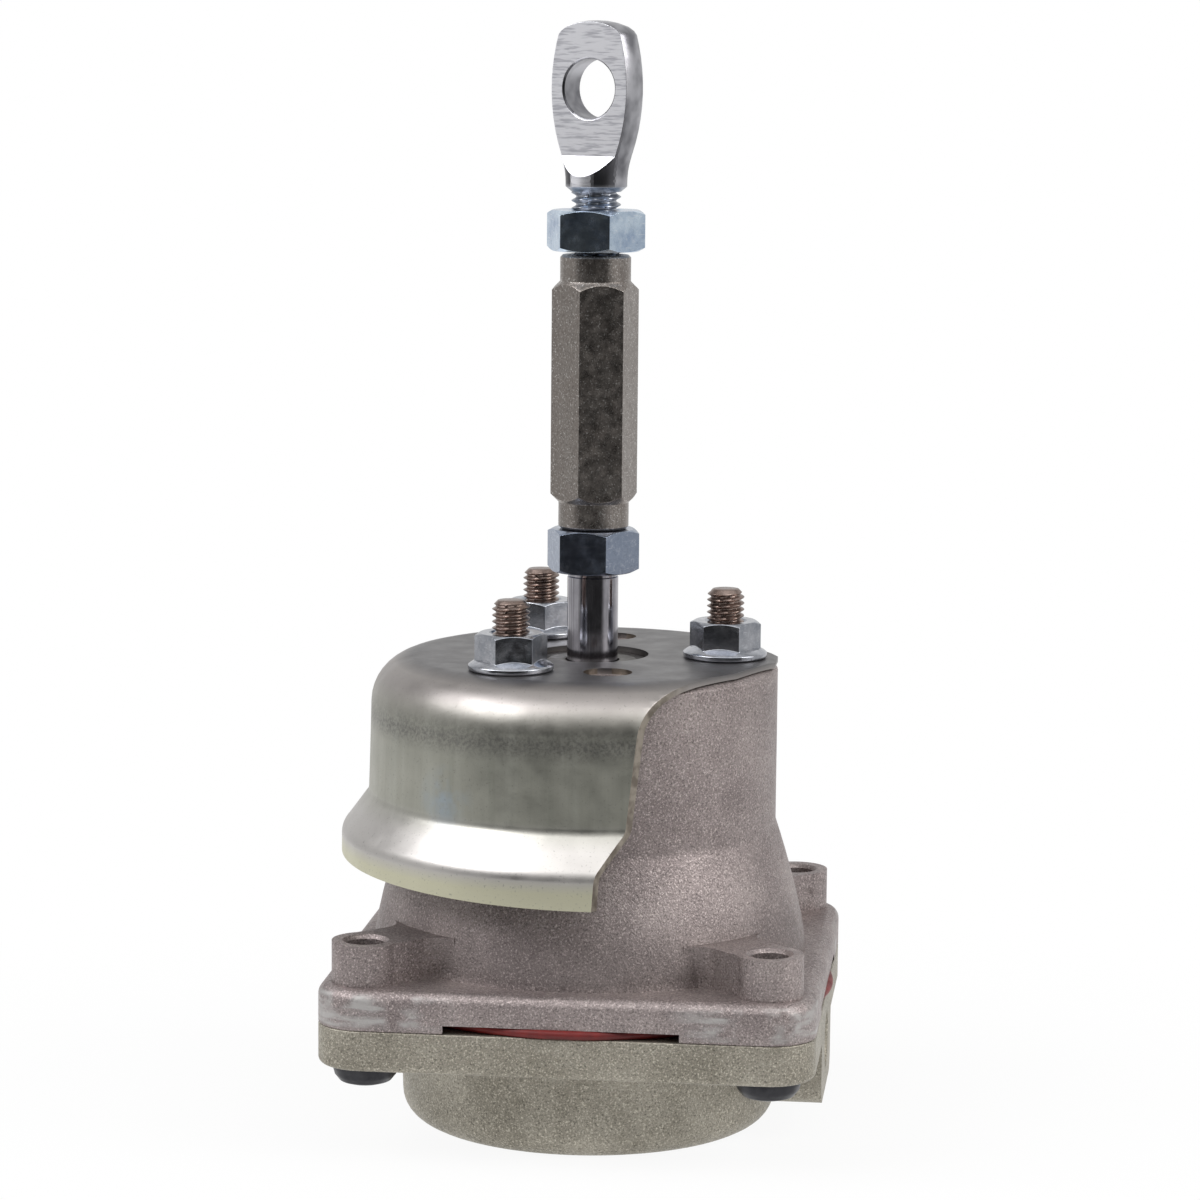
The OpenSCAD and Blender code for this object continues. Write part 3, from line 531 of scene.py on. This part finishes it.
def shield_finish(name, top_mm):
    finish = Finish(name)
    _, height = finish.from_axis()

    def between(high, low, most=1.0):
        """Rises from 0 to most as a point goes from high to low, both in mm below the top."""
        return finish.fit(height, (top_mm - high) * MM, (top_mm - low) * MM, 0.0, most)

    clouds = finish.fit(finish.noise(45, 4, 0.55), 0.36, 0.64)
    skin = finish.blend(clouds, (0.34, 0.34, 0.295), (0.44, 0.435, 0.38))
    streaks = finish.noise(300, 4, 0.6, (1.0, 1.0, 0.05))
    skin = finish.blend(finish.fit(streaks, 0.5, 0.75, 0.0, 0.35), skin, (0.55, 0.56, 0.50))
    skin = finish.blend(finish.fit(streaks, 0.45, 0.3, 0.0, 0.4), skin, (0.24, 0.25, 0.21))
    skin = finish.blend(blue_patch(finish, top_mm), skin, (0.36, 0.43, 0.50))
    skin = finish.blend(between(21.0, 25.0), skin, (0.54, 0.52, 0.50))
    skin = finish.blend(between(29.0, 31.0, 0.9), skin, (0.60, 0.585, 0.43))
    skin = finish.blend(between(7.5, 3.0, 0.8), skin, (0.35, 0.32, 0.315))
    # Painted reflection: a dark band just below the bend, broken by a fine speckle.
    under_bend_reflection = finish.fit(finish.noise(1900, 3, 0.7), 0.40, 0.62, 0.25, 0.75)
    under_bend_reflection = finish.product(between(5.5, 8.5), between(12.0, 9.5), under_bend_reflection)
    skin = finish.blend(under_bend_reflection, skin, (0.15, 0.145, 0.14))
    # Painted reflection: the flat top is painted dark, as the dark room above it would look in it.
    skin = finish.blend(between(1.2, 0.1, 0.95), skin, (0.155, 0.15, 0.152))
    specks = finish.fit(finish.noise(2400, 2, 0.6), 0.62, 0.72, 0.0, 0.4)
    skin = finish.blend(specks, skin, (0.17, 0.17, 0.16))
    rust = finish.fit(finish.noise(350, 3), 0.42, 0.6)
    edge_skin = finish.blend(rust, (0.17, 0.145, 0.12), (0.32, 0.285, 0.24))
    skin = finish.blend(cut_edge(finish), skin, edge_skin)
    finish.colour(skin)
    finish.roughness(finish.fit(finish.noise(260, 3), 0.3, 0.7, 0.34, 0.46))
    finish.relief(finish.noise(1700, 3, 0.7), 0.020, 0.6)
    return finish.material


shield_zinc = shield_finish("shield_zinc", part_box("heat_shield")[1].z / MM)

# %% [markdown]
# ### Rubber and black oxide
# The silicone diaphragm is a dull dark red. The screws are oxidised black and slightly oily.

# %% Soft and black finishes
def dull_finish(name, light, dark, rough, grain, grain_mm, metallic=0.0):
    """A soft or blackened surface. rough is its lowest and highest roughness."""
    finish = Finish(name, metallic=metallic, specular=0.4)
    finish.colour(finish.blend(finish.fit(finish.noise(300, 4), 0.35, 0.65), dark, light))
    finish.roughness(finish.fit(finish.noise(500, 3), 0.3, 0.7, *rough))
    finish.relief(finish.noise(grain, 3), grain_mm, 0.6)
    return finish.material


silicone = dull_finish("silicone", (0.18, 0.014, 0.012), (0.09, 0.008, 0.008), (0.4, 0.6), 1500,
                       0.03)
seal_rubber = dull_finish("seal_rubber", (0.035, 0.035, 0.035), (0.02, 0.02, 0.02), (0.45, 0.6),
                          1800, 0.02)
black_oxide = dull_finish("black_oxide", (0.05, 0.05, 0.055), (0.018, 0.018, 0.022), (0.28, 0.45),
                          2200, 0.02, 0.6)

FINISHES = {
    "lower_casting": lower_cast, "upper_casting": upper_cast, "silicone": silicone,
    "piston_aluminium": piston_finish, "plain_steel": plain_steel, "spring_steel": spring_steel,
    "polished_rod": polished, "zinc": zinc, "blue_zinc": blue_zinc, "bronze": bronze,
    "seal_rubber": seal_rubber, "shield_zinc": shield_zinc, "stainless": stainless, "nickel": nickel,
    "eye_zinc": eye_zinc, "black_oxide": black_oxide,
}
slot_of = {part["node"]: part["material_slot"] for part in frame["record"]["subparts"]}
for name, node in nodes.items():
    for material_slot in node.material_slots:
        material_slot.material = FINISHES[slot_of[name]]
print("finishes:", len(FINISHES), "nodes:", len(nodes))

# %% [markdown]
# ## Real edges on the machined and cast parts
# A CAD edge is perfectly sharp, and a sharp edge catches no light. On the real part every edge is
# broken a little. Each copy of a CAD node is merged into one skin, its flat faces are dissolved
# into single faces, and a small bevel runs along each edge.

# %% Helpers for pieces
def edit(piece):
    """Makes one piece active, with nothing else selected, and enters edit mode."""
    bpy.ops.object.select_all(action="DESELECT")
    piece.select_set(True)
    bpy.context.view_layer.objects.active = piece
    bpy.ops.object.mode_set(mode="EDIT")


def apply_modifiers(piece):
    bpy.ops.object.select_all(action="DESELECT")
    piece.select_set(True)
    bpy.context.view_layer.objects.active = piece
    for modifier in list(piece.modifiers):
        bpy.ops.object.modifier_apply(modifier=modifier.name)


def finish_piece(piece, name, body, slot, node=None, smooth=32, flat_faces=False):
    """Names a piece, gives it its finish, and rides it on its body in place of a CAD node."""
    bpy.ops.object.select_all(action="DESELECT")
    piece.select_set(True)
    bpy.context.view_layer.objects.active = piece
    bpy.ops.object.transform_apply(location=True, rotation=True, scale=True)
    bpy.ops.object.shade_smooth_by_angle(angle=math.radians(smooth))
    if flat_faces:
        weigh = piece.modifiers.new("flat_faces", "WEIGHTED_NORMAL")
        weigh.keep_sharp = True
        apply_modifiers(piece)
    piece.name = name
    piece.data.name = name
    piece.data.materials.clear()
    piece.data.materials.append(FINISHES[slot])
    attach(piece, body)
    if node:
        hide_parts(node)
    return piece


def body_of(node):
    """The moving body that a CAD node belongs to."""
    for body, members in frame["record"]["behaviour"]["bodies"].items():
        if node in members:
            return body


def merged_copy(node):
    """A copy of a CAD node as one skin, with each flat face in one piece."""
    piece = bpy.data.objects.new(node + "_copy", nodes[node].data.copy())
    scene.collection.objects.link(piece)
    edit(piece)
    bpy.ops.mesh.select_all(action="SELECT")
    bpy.ops.mesh.remove_doubles(threshold=0.002 * MM)
    bpy.ops.mesh.dissolve_limited(angle_limit=math.radians(0.3))
    bpy.ops.object.mode_set(mode="OBJECT")
    if piece.data.has_custom_normals:
        bpy.ops.mesh.customdata_custom_splitnormals_clear()
    return piece


def break_edges(piece, width_mm, segments=2, angle=28):
    bevel = piece.modifiers.new("broken_edges", "BEVEL")
    bevel.width = width_mm * MM
    bevel.segments = segments
    bevel.limit_method = "ANGLE"
    bevel.angle_limit = math.radians(angle)
    bevel.use_clamp_overlap = True
    apply_modifiers(piece)


# %% Dress the CAD nodes whose edges show
EDGES = {
    "lower_cover": 0.35, "upper_housing": 0.45, "heat_shield": 0.12, "coupler": 0.14,
    "lower_jam_nut": 0.14, "upper_jam_nut": 0.14, "stud_nut_1": 0.12, "stud_nut_2": 0.12,
    "stud_nut_3": 0.12, "cover_screw_1": 0.15, "cover_screw_2": 0.15, "cover_screw_3": 0.15,
    "cover_screw_4": 0.15, "seal_washer": 0.1,
}
for node, width in EDGES.items():
    piece = merged_copy(node)
    break_edges(piece, width)
    finish_piece(piece, node + "_dressed", body_of(node), slot_of[node], node, flat_faces=True)
    print(node, "faces:", len(piece.data.polygons))

# %% [markdown]
# ## Rolled threads
# The studs, the rod and the eye show their threads, and at this size a picture of a thread is not
# enough: the light runs along each turn. A thread is a cylinder whose radius rises and falls once
# each pitch, and whose crest climbs one pitch a turn. So a finely ringed cylinder is added, and
# each of its points moves in or out by its height and its angle.

# %% Threaded bars
RINGS_PER_PITCH = 10
THREAD_DEPTH = 0.6  # of the pitch


def threaded_bar(radius, low, high, pitch, plain_to, end_bevel, relief_from=None, relief_r=None):
    """Lengths in mm. The thread runs from low to high, and a plain shank goes on down to plain_to.
    From relief_from up, the bar narrows to relief_r, so that the thread runs out."""
    rings = int((high - low) / pitch * RINGS_PER_PITCH)
    bpy.ops.object.select_all(action="DESELECT")
    bpy.ops.mesh.primitive_cylinder_add(vertices=64, radius=radius * MM, depth=(high - low) * MM,
                                        location=(0, 0, (high + low) / 2 * MM))
    bar = bpy.context.object
    bpy.ops.object.transform_apply(location=True, rotation=True, scale=True)
    edit(bar)
    bpy.ops.mesh.select_all(action="DESELECT")
    bpy.ops.object.mode_set(mode="OBJECT")
    for edge in bar.data.edges:
        ends = [bar.data.vertices[i].co for i in edge.vertices]
        edge.select = abs(ends[0].z - ends[1].z) > 1e-6
    edit(bar)
    bpy.ops.mesh.select_mode(type="EDGE")
    bpy.ops.mesh.subdivide(number_cuts=rings - 1)
    bpy.ops.mesh.select_mode(type="FACE")
    bpy.ops.mesh.select_all(action="DESELECT")
    bpy.ops.object.mode_set(mode="OBJECT")
    for face in bar.data.polygons:
        face.select = face.normal.z < -0.9 and abs(face.center.z - low * MM) < 1e-6
    edit(bar)
    down = (0, 0, (plain_to - low) * MM)
    bpy.ops.mesh.extrude_region_move(TRANSFORM_OT_translate={"value": down})
    bpy.ops.object.mode_set(mode="OBJECT")
    depth = THREAD_DEPTH * pitch
    for vertex in bar.data.vertices:
        z = vertex.co.z / MM
        if z < low - 0.001:
            continue
        turn = math.atan2(vertex.co.y, vertex.co.x) / (2 * math.pi)
        wave = abs(((z / pitch - turn) % 1) * 2 - 1)
        cut = min(max((wave - 0.12) / 0.66, 0), 1) * depth
        r = radius - cut
        r = min(r, radius - end_bevel + (high - z))
        if relief_from is not None and z > relief_from:
            r = min(r, max(relief_r, radius - cut * max(0, 1 - (z - relief_from) / 0.4)))
        vertex.co.x, vertex.co.y = (c / (radius * MM) * r * MM for c in vertex.co.xy)
    return bar


# %% The three studs
M6_PITCH = 1.0
IN_NUT = 1.5
STUD_BEVEL = 0.9
STUD_TURN = 70  # degrees from one stud's thread start to the next one's
for i in (1, 2, 3):
    node = f"stud_{i}"
    low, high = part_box(node)
    radius = (high.x - low.x) / 2 / MM
    top = high.z / MM
    nut_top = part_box(f"stud_nut_{i}")[1].z / MM
    stud = threaded_bar(radius, nut_top - IN_NUT, top, M6_PITCH, low.z / MM, STUD_BEVEL)
    edit(stud)
    bpy.ops.mesh.select_all(action="SELECT")
    bpy.ops.transform.rotate(value=math.radians(STUD_TURN * i), orient_axis="Z",
                             center_override=(0, 0, 0))
    bpy.ops.object.mode_set(mode="OBJECT")
    centre = (low + high) / 2
    stud.location = (centre.x, centre.y, 0)
    finish_piece(stud, f"stud_{i}_threaded", "housing", "stainless", node, 50)

# %% [markdown]
# ## The eye end
# The eye is turned from bar, milled flat on both sides and drilled. The CAD head is kept and its
# edges broken. Its plain tail is cut off with a bisect at the shoulder, and a threaded bar takes
# its place, with the small relief groove that lets the thread run out.

# %% Eye end with its thread
eye = merged_copy("eye_end")
edit(eye)
bpy.ops.mesh.select_all(action="SELECT")
bpy.ops.mesh.bisect(plane_co=(0, 0, (shoulder_mm - 0.7) * MM), plane_no=(0, 0, 1),
                    clear_inner=True, use_fill=True)
bpy.ops.object.mode_set(mode="OBJECT")
break_edges(eye, 0.16)
M8_PITCH, TAIL_R, RELIEF_R, RELIEF_L = 1.25, 3.95, 3.7, 2.6
tail = threaded_bar(TAIL_R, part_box("coupler")[1].z / MM - IN_NUT, shoulder_mm - 0.3, M8_PITCH,
                    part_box("eye_end")[0].z / MM, 0.0, shoulder_mm - RELIEF_L, RELIEF_R)
bpy.ops.object.select_all(action="DESELECT")
eye.select_set(True)
tail.select_set(True)
bpy.context.view_layer.objects.active = eye
bpy.ops.object.join()
finish_piece(eye, "eye_end_milled", "eye", "eye_zinc", "eye_end", 24, True)

# %% [markdown]
# ## Turned parts
# The rod, the diaphragm and its bead are round all over, so half of their outline is drawn as a
# row of points and spun once round the axis.

# %% A helper for turned pieces
def turned(profile, steps=96):
    """Spins a half outline, given as (radius, height) in mm, about the Z axis."""
    bpy.ops.object.select_all(action="DESELECT")
    bpy.ops.mesh.primitive_plane_add(size=MM)
    piece = bpy.context.object
    edit(piece)
    bpy.ops.mesh.select_all(action="SELECT")
    bpy.ops.mesh.merge(type="CENTER")
    bpy.ops.mesh.select_all(action="SELECT")
    bpy.ops.transform.translate(value=(profile[0][0] * MM, 0, profile[0][1] * MM))
    for (r0, z0), (r1, z1) in zip(profile, profile[1:]):
        bpy.ops.mesh.extrude_vertices_move(
            TRANSFORM_OT_translate={"value": ((r1 - r0) * MM, 0, (z1 - z0) * MM)})
    bpy.ops.mesh.select_all(action="SELECT")
    bpy.ops.mesh.spin(steps=steps, angle=2 * math.pi, center=(0, 0, 0), axis=(0, 0, 1))
    bpy.ops.mesh.select_all(action="SELECT")
    bpy.ops.mesh.remove_doubles(threshold=0.001 * MM)
    bpy.ops.mesh.normals_make_consistent(inside=False)
    bpy.ops.object.mode_set(mode="OBJECT")
    return piece


# %% The polished rod
rod_low, rod_high = (corner.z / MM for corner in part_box("actuator_rod"))
rod_r = (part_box("actuator_rod")[1].x) / MM
nut_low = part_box("lower_jam_nut")[0].z / MM
spring_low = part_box("return_spring")[0].z / MM
rod = turned([
    (0, rod_low), (2.5, rod_low), (3.0, rod_low + 0.5), (3.0, spring_low), (rod_r, spring_low),
    (rod_r, nut_low - 0.9), (rod_r - 0.15, nut_low - 0.75), (rod_r - 0.15, rod_high - 1),
    (rod_r - 1.15, rod_high), (0, rod_high)])
finish_piece(rod, "rod_polished", "rod", "polished_rod", "actuator_rod")

# %% [markdown]
# ## The diaphragm and the spring
# The silicone rim is squeezed between the castings and bulges where they leave it free. The web
# below it and the spring fold and shorten as the rod rises; here each is one fixed shape that rides
# on the housing.

# %% Diaphragm with a rounded rim
rim_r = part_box("diaphragm")[1].x / MM
rim_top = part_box("diaphragm")[1].z / MM
web_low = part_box("diaphragm")[0].z / MM
split = rim_top - 1.4
bead = [(rim_r - 0.7 + 0.7 * math.cos(a), rim_top - 0.7 + 0.7 * math.sin(a))
        for a in (math.radians(d) for d in (-80, -50, -25, 0, 25, 50, 80))]
web = [(3.05, web_low), (21.2, web_low), (23.2, web_low + 2), (26.6, split - 1.5), (26.6, split)]
back = [(25.7, rim_top), (25.7, split - 1.5), (22.3, web_low + 2.4), (20.8, web_low + 0.9),
        (3.05, web_low + 0.9)]
diaphragm = turned(web + bead + back + [(3.05, web_low)])
finish_piece(diaphragm, "diaphragm_moulded", "housing", "silicone", "diaphragm")
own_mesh(diaphragm)

# %% Return spring
spring_box = [corner.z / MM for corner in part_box("return_spring")]
coil_r, wire_r, turns = 13.0, 1.5, 6.5
bpy.ops.object.select_all(action="DESELECT")
bpy.ops.mesh.primitive_circle_add(vertices=14, radius=wire_r * MM, fill_type="NOTHING",
                                  rotation=(math.pi / 2, 0, 0), location=(coil_r * MM, 0, 0))
spring = bpy.context.object
bpy.ops.object.transform_apply(location=True, rotation=True, scale=True)
coil = spring.modifiers.new("coil", "SCREW")
coil.angle = turns * 2 * math.pi
coil.screw_offset = (spring_box[1] - spring_box[0] - 2 * wire_r) * MM
coil.steps = coil.render_steps = 260
coil.use_merge_vertices = False
apply_modifiers(spring)
edit(spring)
bpy.ops.mesh.select_all(action="SELECT")
bpy.ops.mesh.normals_make_consistent(inside=False)
bpy.ops.mesh.select_mode(type="VERT")
bpy.ops.mesh.select_all(action="DESELECT")
bpy.ops.mesh.select_non_manifold()
bpy.ops.mesh.edge_face_add()
bpy.ops.object.mode_set(mode="OBJECT")
spring.location.z = (spring_box[0] + wire_r) * MM
finish_piece(spring, "return_spring_coiled", "housing", "spring_steel", "return_spring", 60)
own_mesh(spring)
